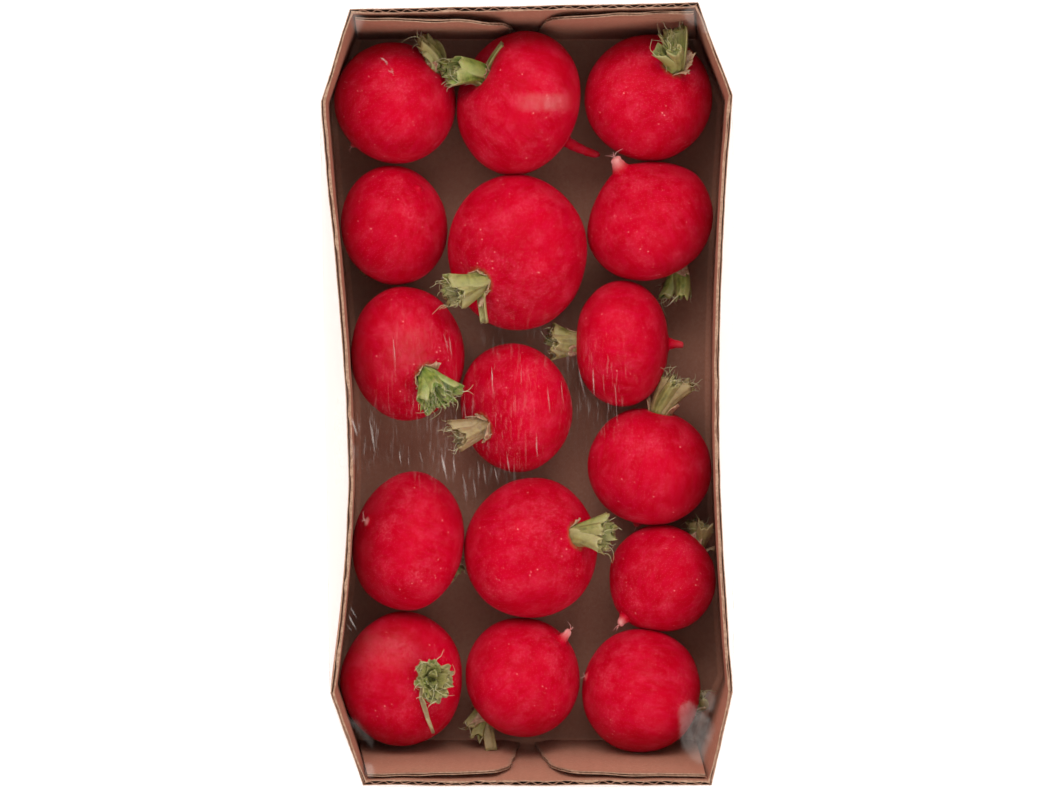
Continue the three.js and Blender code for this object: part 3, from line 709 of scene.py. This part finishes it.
def tuft(r, index, centre, axis):
    """A radish's cut leaf stalks with their fibres, the core they stand on and dry scales."""
    turn = crown_turn(axis)
    toward = unit(r["toward"])
    wide, long = r.get("stretch", (1, 1))
    foot = centre + axis * (r["long"] / 2 - r.get("dimple", SHALLOW_DIMPLE) + 0.1) * [wide, long, 1]
    build = Build()
    fresh = r["fresh"]
    tips = []
    # The stalks of the solid, then thinner ones that stand between and inside them.
    count = r["stalks"]
    for i in range(count + 3):
        inner = i >= count
        angle = 2 * math.pi * (i + 0.35 * draw(index, 10 + i)) / (3 if inner else count)
        outward = turn @ [math.cos(angle), 0, math.sin(angle)]
        spread_out = r["open"] * (0.8 + 0.5 * draw(index, 20 + i)) * (0.35 if inner else 1)
        heading = unit(toward + outward * spread_out)
        length = r["reach"] * (0.78 + 0.25 * draw(index, 30 + i)) * (0.8 if inner else 1)
        width = STALK["width"] * (0.85 + 0.35 * draw(index, 40 + i))
        width *= 0.6 if inner else r.get("wide", 1.2)
        root = foot + outward * STALK["ring"] * (0.4 if inner else 1) - axis * 0.2
        seed = index * 17 + i
        green = min(max(fresh + 0.3 * (draw(seed, 6) - 0.5) + 0.2 * inner, 0), 1)
        thick = STALK["thick"] * (0.7 if inner else 1)
        dry = 0.4 * (1 - fresh) * draw(seed, 8)
        tip = add_stalk(
            build, root, axis, outward, heading, length, width, thick, 0.32, seed, green, dry,
        )
        tips.append(tip)
    for k in range(r["fibres"] * 3):
        tip, f = tips[int(draw(index, 200 + k) * len(tips))]
        at = tip[int(draw(index, 300 + k) * len(tip))]
        away = np.array([draw(index, 400 + k), draw(index, 500 + k), draw(index, 600 + k)]) - 0.5
        add_fibre(
            build, at - f * 0.3, f + 1.5 * away, 1.4 + 3.2 * draw(index, 700 + k), 0.1, index * 50 + k,
            white=0.4 + 0.6 * draw(index, 800 + k), edge=1.0, fresh=0.75, rib=1.0,
        )
    core = []
    for height, radius in ((-0.5, 2.3), (0.5, 2.2), (1.1, 1.7), (1.5, 0.8)):
        angles = np.linspace(0, 2 * math.pi, 16, endpoint=False)
        flat = [turn @ [math.cos(k) * radius, 0, math.sin(k) * radius] for k in angles]
        core.append([foot + axis * height + p for p in flat])
    points, faces = closed_rings(core)
    build.add(points, [tuple(reversed(f)) for f in faces], fresh=fresh * 0.8, along=0.3)
    lone = r.get("lone")
    if lone:
        heading = unit(lone["toward"])
        outward = unit(heading - axis * heading.dot(axis))
        root = foot + outward * STALK["ring"] * 0.9 - axis * 0.1
        add_stalk(
            build, root, axis, outward, heading, lone["reach"], lone["width"], STALK["thick"] * 0.8,
            0.14, index * 17 + 9, fresh * 0.7, dry=lone.get("dry", 0),
            sway=lone.get("sway", (0, 0, 0)), end=lone.get("end", 0.8), tear=0.3,
        )
    for i in range(r["bracts"]):
        angle = 2 * math.pi * (i + 0.7 * draw(index, 70 + i)) / r["bracts"] + 1.1
        outward = turn @ [math.cos(angle), 0, math.sin(angle)]
        length, width = 2.4 + 2.4 * draw(index, 75 + i), 2.4 + 1.6 * draw(index, 85 + i)
        start = foot + outward * 2.5 - axis * 0.3
        add_bract(build, start, outward, axis, length, width, index * 31 + i)
    build.points = [kept_inside(np.concatenate(build.points))]
    obj = build.make(f"cut_stalks_{index:02d}", LEAF)
    fit_out(obj, "leaf_stalk", f"stalks_{index:02d}")


for number, row in enumerate(RADISHES, 1):
    tuft(row, number, *radish(row, number))


# Tray


def lift(points, z):
    """Points of a plan at a height, or each at a height of its own."""
    return np.column_stack([points, np.broadcast_to(z, len(points))])


def rim_wave(points):
    """Small unevenness of the cut edge: how far up and how far in."""
    up, sideways = [], []
    for x, y in points:
        up.append(0.2 * rough((x, y, 0), 9, 2) + 0.08 * rough((x, y, 3), 1.6, 4))
        sideways.append(0.2 * rough((x, y, 9), 12, 6) + 0.08 * rough((x, y, 4), 3, 2))
    return np.array(up), np.array(sideways)


def rim_thickness(points):
    """The board's thickness in its cut edge, where it is crushed more on some sides than on others."""
    edge = np.repeat(EDGES, SIDE_STEPS)
    for _ in range(3):
        edge = (np.roll(edge, 1) + 2 * edge + np.roll(edge, -1)) / 4
    return edge + [0.1 * rough((p[0], p[1], 6), 6, 8) for p in points]


def tray():
    """The folded board with a groove in its cut edge, and the fluted layers in the groove."""
    build = Build()
    levels = np.concatenate([np.linspace(0, 0.9, 10), [0.96, 0.993, 1]])
    top = outline(1, soften=0)
    up, sideways = rim_wave(top)
    edge = rim_thickness(top)
    # How much of the groove between the two liners is open: most in the end walls.
    open_share = [(0.95 if abs(y) > 89 else 0.55) + 0.8 * rough((x, y, 2), 4, 9) for x, y in top]
    gap = np.clip(open_share, 0.12, 1) * (edge - 2 * LINER)
    groove = 2.4
    floor_rings = 26
    rings, cut, deep = [], [], []

    def ring(points, z, cut_value=0.0, painted_shade_value=0.0):
        rings.append(lift(points, z))
        cut.append(np.full(len(points), cut_value))
        deep.append(np.full(len(points), painted_shade_value))

    def wall(level, distance, own=0.0):
        return nudged(outline(level, distance, soften=0), sideways * level + own)

    def height_at(level):
        return TRAY_FOOT + level * TRAY_HEIGHT + up * ease(level, 0.6, 1)

    for level in levels:
        ring(wall(level, 0), height_at(level), float(level == 1))
    rim = TRAY_RIM + up
    ring(wall(1, LINER), rim + 0.03, 1)
    # Painted shade: the groove's inside is darkened in full, by the last value of each ring.
    ring(wall(1, LINER, own=0.04), rim - 0.3, 0, 1)
    ring(wall(1, LINER), rim - groove, 0, 1)
    ring(wall(1, LINER, own=edge - 2 * LINER), rim - groove, 0, 1)
    ring(wall(1, LINER, own=gap), rim - 0.3, 0, 1)
    ring(wall(1, LINER, own=gap), rim + 0.03, 1)
    for level in levels[::-1][:-1]:
        crushed = (edge - BOARD) * ease(level, 0.72, 1)
        ring(wall(level, BOARD, own=crushed), height_at(level), float(level == 1))
    for height, distance in ((2.2, 0), (1.0, 0.15), (0.35, 0.6), (0.06, 1.4)):
        ring(wall(height / TRAY_HEIGHT, BOARD + distance), FLOOR + height)
    # The floor, as rings that shrink to the middle, darkened all over by painted shade.
    inner = outline(0, BOARD + 1.8, soften=0)
    for share in np.linspace(1, 0.04, floor_rings):
        ring(inner * share, FLOOR, 0, 0.35)
    points, faces = closed_rings(rings)
    beside = np.repeat(LEVEL_FLUTES, SIDE_STEPS)
    walls = len(rings) - floor_rings
    level = np.concatenate([np.tile(beside, walls), np.zeros(len(points) - walls * len(beside))])
    cut, deep = (np.concatenate([np.ravel(values), [0, 0]]) for values in (cut, deep))
    build.add(points, faces, cut=cut, deep=deep, level=level)
    obj = build.make("folded_board", KRAFT, sharp=38)
    fit_out(obj, "kraft_board", "tray")

    # The fluted layer in the cut edge: it runs up the end walls and along the others.
    start = 0
    for i, steps in enumerate(SIDE_STEPS):
        index = np.arange(start, start + steps + 1) % len(top)
        start += steps
        here, lean = top[index], outline(1, 1, soften=0)[index] - top[index]
        middle, swing = edge[index] / 2, edge[index] / 2 - LINER - 0.08
        if i in (0, 4):
            length = np.concatenate([[0], np.cumsum(np.linalg.norm(np.diff(here, axis=0), axis=1))])
            dense = np.linspace(0, length[-1], int(length[-1] / FLUTE * 12))
            finer = [np.interp(dense, length, v) for v in (*here.T, *lean.T, up[index], middle, swing)]
            here, lean = np.column_stack(finer[:2]), np.column_stack(finer[2:4])
            height, middle, swing = finer[4:]
            shift = middle + swing * np.sin(dense * 2 * math.pi / FLUTE + 0.35 * np.sin(dense / 9))
            shift = shift + np.interp(dense, length, sideways[index])
            rows = [lift(here + lean * shift[:, None], TRAY_RIM + height - z) for z in (2.3, 1.2, 0.06)]
        else:
            rows = []
            for z in np.linspace(2.3, 0.08, 9):
                shift = middle + swing * math.sin(z * 2 * math.pi / FLUTE + i) + sideways[index]
                rows.append(lift(here + lean * shift[:, None], TRAY_RIM + up[index] - z))
        points, faces = plate(rows, 0.17)
        fluting = Build()
        # Painted shade on the fluted layer, as it lies in the groove.
        fluting.add(points, faces, cut=0.35, deep=0.25)
        obj = fluting.make(f"fluted_layer_{i + 1}", KRAFT)
        fit_out(obj, "kraft_board")


def flap_edge(v):
    """How far a glue flap reaches from its fold at a height."""
    f = FLAP
    low = np.array([f["foot"] - 2.8, f["height"] * 0.55])
    ctrl = np.array([f["top"] + 1.4, f["height"] - 0.4])
    high = np.array([f["top"] - f["round"], f["height"] - 1])
    t = np.linspace(0, 1, 60)[:, None]
    curve = (1 - t) ** 2 * low + 2 * t * (1 - t) * ctrl + t ** 2 * high
    heights = np.maximum.accumulate(curve[:, 1])
    curved = np.interp(v, heights + np.arange(60) * 1e-6, curve[:, 0])
    return np.where(v < low[1], f["foot"] - 2.8 * v / low[1], curved)


def flap(name, corner, far, peel):
    """A glue flap in an end wall, from one corner towards the far one; its top peels away."""
    starts = np.concatenate([[0], np.cumsum(SIDE_STEPS)[:-1]])
    foot, end = lift(outline(0, BOARD, soften=0)[starts[[corner, far]]], FLOOR)
    top = lift(outline(1, BOARD, soften=0)[starts[[corner]]], TRAY_RIM)[0]
    along = unit(end - foot)
    up = top - foot
    lean = up.dot(along)
    up = unit(up - along * lean)
    inward = np.array([0, -math.copysign(1, foot[1]), 0])
    inward = unit(inward - up * inward.dot(up))
    f = FLAP
    build = Build()
    low_rows = np.linspace(0.3, f["height"] * 0.55, 14)
    rows = np.concatenate([low_rows, np.linspace(f["height"] * 0.58, f["height"] - 1.05, 26)])
    columns = np.linspace(0, 1, 34)

    def sheet(depth, thickness, back=0.0, **values):
        """One layer of the flap at a depth from its wall, cut back by a little at its end."""
        grid = []
        for v in rows:
            reach = float(flap_edge(v)) - back
            start_u = lean * v / f["height"] * 0.95 + 0.2
            reach += lean / 2 * v / f["height"]
            reach += 0.3 * rough((v, 0, 0), 1.6, corner) + 0.3 * rough((v, 0, 0), 6, corner)
            row = []
            for c in columns:
                u = start_u + (reach - start_u) * c
                away = peel * max(u / f["foot"], 0) ** 1.6 * (v / f["height"]) ** 2.4
                wave = 0.6 + rough((u, 0, 0), 7, corner + 3)
                away += 0.45 * ease(v, f["height"] * 0.7, f["height"]) * wave
                crush = 1 - 0.55 * max(ease(v, f["height"] * 0.72, f["height"]), ease(c, 0.9, 1))
                n = depth(u, v) * crush + away + 0.1 * rough((u, v, 0), 14, corner)
                sink = ease(v, f["height"] * 0.8, f["height"])
                sink *= 0.7 * rough((u, 5, 0), 8, corner) - 0.5
                row.append(foot + along * u + up * (v + sink) + inward * n)
            grid.append(row)
        points, faces = plate(grid, thickness)
        count = len(rows) * len(columns)
        edge = np.zeros(len(points))
        c = np.tile(columns, len(rows))
        r = np.repeat(rows, len(columns))
        edge[:count] = edge[count:] = np.maximum(c > 0.985, r > rows[-1] - 0.3)
        build.add(points, faces, cut=edge, **values)

    mid, swing = f["thick"] / 2, f["thick"] / 2 - LINER - 0.05
    sheet(lambda u, v: f["thick"] - LINER / 2, LINER)
    sheet(lambda u, v: LINER / 2 + 0.05, LINER)
    # Fine rows for the fluted layer, so that its waves show at the slanted end.
    rows = np.linspace(0.4, f["height"] - 1.2, 130)
    columns = np.concatenate([[0], np.linspace(0.8, 1, 6)])

    def wavy(u, v):
        return mid + swing * math.sin(v * 2 * math.pi / FLUTE + corner)

    # Painted shade on the flap's fluted layer, between its liners.
    sheet(wavy, 0.17, back=0.15, deep=0.2)
    obj = build.make(name, KRAFT, sharp=40)
    fit_out(obj, "kraft_board")


tray()
flap("glue_flap_1", 0, 1, 1.9)
flap("glue_flap_2", 1, 0, 1.7)
flap("glue_flap_3", 4, 5, 1.2)
flap("glue_flap_4", 5, 4, 1.3)


# Film

# Creases that the pull has left standing in the film: where each starts, X then Y, where
# it ends, and how wide it is.
CREASES = [
    (-19.8, 14.4, -18.6, 9.7, 0.5), (-18.6, 13.9, -17.7, 8.2, 0.4), (12, 6.1, 14.2, -1.9, 0.45),
    (15.6, 6.4, 16, -0.7, 0.35), (5, 1.7, 5.4, -4.5, 0.35), (-41.3, -5.4, -40.1, -10.4, 0.6),
    (-37.1, -6.1, -35.9, -14.9, 0.6), (-41.8, -9.2, -40.6, -17.2, 0.9),
    (-30.4, -13.2, -29.5, -16.8, 0.35), (-28.1, -14.9, -27.6, -17.2, 0.3),
    (-25.3, -13.2, -24.5, -16.8, 0.35), (-20.1, -13.9, -18.9, -21, 0.7),
    (-17.5, -14.9, -17, -19.6, 0.4), (-15.3, -18.6, -14.2, -25.7, 0.9),
    (-11.8, -15.6, -11.1, -20.3, 0.4), (-10.4, -16.3, -9.4, -22, 0.4),
    (-7.6, -17.2, -6.8, -20.8, 0.35), (-4.7, -13.2, -4, -20.3, 0.35),
    (-12.6, -19.8, -12.2, -25, 0.5), (18.9, -1.7, 19.3, -4.7, 0.3), (20.6, 2.5, 21.4, -6.5, 0.3),
    (-41.8, -50.3, -39.9, -52.9, 0.4), (-42.2, -51.7, -40.1, -55.7, 0.45),
    (-42.5, -54, -41.1, -56.4, 0.3), (-22, 2.2, -21.4, -3.5, 0.3), (-15, -1.5, -14.5, -7, 0.3),
    (-8.5, 6.5, -8.1, 0.5, 0.3), (-1.5, 7, -1.2, 1.5, 0.3), (2.2, -9, 2.6, -15.5, 0.3),
    (8.2, 3.5, 8.6, -3, 0.3), (-31.5, 14, -31.2, 6.5, 0.3), (-34.5, 79.4, -33.4, 78.3, 0.5),
    (-33.6, 78.8, -32.9, 77.5, 0.6), (-32.2, 77, -31.3, 75.2, 0.6), (-32.9, 76.4, -31.5, 75.9, 0.5),
]
# Where glare is painted on the film as pale patches: middle, half sizes and strength. And where fine
# streaks of painted glare run along it, in the same way.
GLARE_PATCHES = [
    (4.0, 68.8, 5.6, 2.0, 0.1), (-33, -60.5, 6, 4.5, 0.03), (-28, 11, 5, 5, 0.03),
    (-44.2, -11, 1.5, 12, 0.25),
]
# Slack folds at the corners that catch the light, shown as painted glare: their corners and how strong
# the glare is.
GLARE_PANES = [
    ([(-41.9, 90.9), (-40.2, 89.7), (-38.3, 88.5), (-38.7, 86.9), (-40, 85.2), (-41.4, 87.3),
      (-42.2, 88.7)], 0.14),
    ([(36.7, 90.2), (38.4, 91.6), (40.5, 90.4), (40.3, 87.3), (38.8, 86.9), (37.2, 88.5)], 0.12),
    ([(40.7, 90.4), (41.9, 89.5), (43.2, 87.3), (43.1, 85), (41.7, 85.4), (40.7, 87.8)], 0.24),
    ([(-43, -76.2), (-39.9, -77.1), (-37.3, -80.4), (-36.3, -82.1), (-36.6, -83.5), (-38.7, -80.9),
      (-41.5, -78.1)], 0.05),
    ([(-38.2, -86.8), (-36.6, -87.5), (-35.9, -88.9), (-36.8, -90.3), (-38, -89.4)], 0.2),
    ([(35.8, -73.8), (38.1, -72.4), (41.2, -74.8), (43.3, -76.7), (44.3, -79), (43.6, -81.4),
      (41.4, -87.5), (38.8, -86.1), (36.7, -83.3), (36, -78.5)], 0.12),
    ([(41.2, -70.5), (43.3, -70), (44.5, -71.9), (43.8, -74.8), (42.2, -74.8)], 0.1),
]
GLARE_STREAKS = [
    (-15, -8, 17, 14, 0.07), (17, 0, 8, 11, 0.07), (-38, -12, 5, 9, 0.10), (-27, 9, 9, 12, 0.03),
    (0, 12, 14, 8, 0.03),
]


def film_rise(x, y):
    """How far the film stands above its level middle height."""
    rise = -1.35 * max(0, 1 - (x / 40) ** 2) * max(0, 1 - (y / 80) ** 2)
    rise += 0.12 * noise.noise(Vector((x / 12, y / 46, 1)))
    rise += 0.045 * noise.noise(Vector((x / 3.6, y / 20, 5)))
    for cx, cy in ((-40, 90), (40, 91), (-38, -91), (43, -91)):
        d = math.hypot(x - cx, y - cy)
        fan = math.sin(math.atan2(y - cy, x - cx) * 13 + 2 * rough((x, y, 0), 9, 3))
        rise += 0.09 * math.exp(-d / 15) * fan * min(1, d / 6)
    return rise


def spread(places, x, y):
    """How strong something is at a point, where it fades out about each of its places."""
    total = 0.0
    for cx, cy, hx, hy, strength in places:
        d = ((x - cx) / hx) ** 4 + ((y - cy) / hy) ** 4
        if d < 8:
            total += strength * math.exp(-d)
    return total


def fold_glare(x, y):
    """How much painted glare the slack folds at the corners put on the film at a point, with soft
    borders.
    """
    total = 0.0
    for corners, strength in GLARE_PANES:
        inside, nearest = False, 9.0
        for (ax, ay), (bx, by) in zip(corners, corners[1:] + corners[:1]):
            dx, dy = bx - ax, by - ay
            t = min(max(((x - ax) * dx + (y - ay) * dy) / (dx ** 2 + dy ** 2), 0), 1)
            nearest = min(nearest, math.hypot(x - ax - dx * t, y - ay - dy * t))
            if (ay > y) != (by > y) and x < ax + dx * (y - ay) / dy:
                inside = not inside
        total += strength * ease(nearest if inside else -nearest, -0.5, 0.7)
    return total


def film():
    """The film: its top as a fine sheet, the creases that stand on it, and its sides."""
    slack = 0.35
    rim = outline(1, -slack, bow=0)
    closed = np.concatenate([rim, rim[:1]])
    rows = np.linspace(-92.2, 92.2, 300)
    columns = np.linspace(-1, 1, 158)
    grid = np.zeros((len(rows), len(columns), 3))
    patches, streak = np.zeros(grid.shape[:2]), np.zeros(grid.shape[:2])
    for r, y in enumerate(rows):
        hits = []
        for a, b in zip(closed[:-1], closed[1:]):
            if (a[1] - y) * (b[1] - y) <= 0 and a[1] != b[1]:
                hits.append(a[0] + (b[0] - a[0]) * (y - a[1]) / (b[1] - a[1]))
        for c, k in enumerate(columns):
            x = min(hits) + (max(hits) - min(hits)) * (k + 1) / 2
            border = min(1, (1 - abs(k)) * 26, (92.2 - abs(y)) / 2)
            grid[r, c] = x, y, TRAY_RIM + 0.42 + film_rise(x, y) * border
            # Painted glare: pale patches, the corner folds' glare and fine streaks.
            patches[r, c] = spread(GLARE_PATCHES, x, y) + (fold_glare(x, y) if abs(x) > 34 else 0)
            streak[r, c] = spread(GLARE_STREAKS, x, y)
    build = Build()
    faces = grid_faces(*grid.shape[:2])
    build.add(grid.reshape(-1, 3), faces, haze=patches.ravel(), streak=streak.ravel())
    fit_out(build.make("stretch_film", CLEAR), "clear_film", "film")

    # Creases: slender ridges that stand on the sheet, pointed at both ends, with a painted highlight
    # along their crests.
    build = Build()
    for number, (ax, ay, bx, by, width) in enumerate(CREASES):
        a, b = np.array([ax, ay], float), np.array([bx, by], float)
        side = np.array([a[1] - b[1], b[0] - a[0]]) / np.linalg.norm(b - a)
        ridge, white = [], []
        strength = 0.12 + 0.3 * draw(number, 3) ** 1.5
        for t in np.linspace(0, 1, 15):
            swell = math.sin(math.pi * t) ** 0.7 * (0.75 + 0.5 * draw(number, int(t * 14)))
            half = width * 0.5 * swell + 0.02
            p = a + (b - a) * t + side * 0.14 * math.sin(3 * t + number)
            bright = strength * math.sin(math.pi * t ** 0.8)
            white += [0, bright, bright, 0]
            z = TRAY_RIM + 0.44 + film_rise(*p)
            places = ((-1, 0), (-0.3, 0.5), (0.3, 0.5), (1, 0))
            ridge.append([[*(p + side * half * away), z + half * rise] for away, rise in places])
        points, faces = closed_rings(ridge)
        build.add(points, faces, haze=np.array(white + [0, 0]))
    fit_out(build.make("film_creases", CLEAR), "clear_film")

    # The film's sides, from the rim down to the hem that is tucked under the base.
    build = Build()
    rings, side_haze_and_glare = [], []
    around = len(rim)
    pleat = [0.5 * rough((x, y, 0), 5, 1) + 0.5 * rough((x, y, 0), 2.2, 5) for x, y in rim]
    pleat = np.array(pleat)
    for level in [1.0, 0.995, *np.linspace(0.98, 0.02, 33), 0.0]:
        ring = outline(level, -slack, bow=0)
        out = 0.32 * math.sin(math.pi * level) * pleat
        # Folds run down the sides at a slant, as the hem pulls them together.
        fold = np.array([rough((p[0] + 9 * level, p[1] - 9 * level, 2 * level), 6, 4) for p in ring])
        fold = np.clip(1 - np.abs(fold) * 9, 0, 1) ** 2 * ease(level, 1.0, 0.8)
        z = 0.5 + (TRAY_RIM + 0.42 - 0.5) * level
        rings.append(lift(nudged(ring, -out - 0.12 * fold), z))
        # Haze values: a little real cloudiness, and painted highlights along the pleats and slanted
        # folds.
        side_haze_and_glare.append(0.04 + 0.05 * pleat + 0.09 * fold)
    for share, z in ((0.35, 0.1), (1.5, 0.06), (6, 0.06), (12, 0.08), (18.5, 0.12)):
        inset = share - slack if share < 1 else share
        rings.append(lift(outline(0, inset, bow=0), z + 0.3 * (pleat * 0.3 + 0.3)))
        side_haze_and_glare.append(np.full(around, 0.06))
    rings = np.array(rings)
    faces = [tuple(reversed(f)) for f in grid_faces(len(rings), around, wrap=True)]
    build.add(rings.reshape(-1, 3), faces, haze=np.ravel(side_haze_and_glare))
    fit_out(build.make("film_sides", CLEAR), "clear_film")


film()


# Camera, light and floor

camera = placed("camera", bpy.data.cameras.new("camera"))
camera.data.sensor_width = 36
# The camera stands a metre above the rim, and a picture 1054 wide holds 0.236 mm per pixel there.
camera.data.lens = 36 * 1000 / (1054 * 0.236)
camera.data.clip_end = 20
camera.location = (0, 0, 1 + TRAY_RIM * MM)
bpy.context.scene.camera = camera

floor_mesh = bpy.data.meshes.new("floor")
floor_mesh.from_pydata([(-6, -6, 0), (6, -6, 0), (6, 6, 0), (-6, 6, 0)], [], [(0, 1, 2, 3)])
floor_mesh.materials.append(pale_floor())
floor = placed("floor", floor_mesh)
floor.location.z = -0.0002


def softbox(name, place, size, power):
    """A soft lamp at a place that points at the middle."""
    light = bpy.data.lights.new(name, "AREA")
    light.shape, light.size, light.size_y = "RECTANGLE", *size
    light.energy = power
    obj = placed(name, light)
    obj.location = place
    obj.rotation_euler = (-Vector(place)).to_track_quat("-Z", "Y").to_euler()


softbox("key", (-0.12, 1.0, 1.35), (1.3, 0.7), 15.2)
softbox("fill", (0.7, -0.9, 1.3), (0.9, 0.9), 6.6)

world = bpy.data.worlds.new("studio")
bpy.context.scene.world = world
world.use_nodes = True
sky = world.node_tree.nodes["Background"].inputs
sky["Color"].default_value = (1.0, 0.99, 0.975, 1)
sky["Strength"].default_value = 0.85
bpy.context.scene.view_settings.view_transform = "Standard"
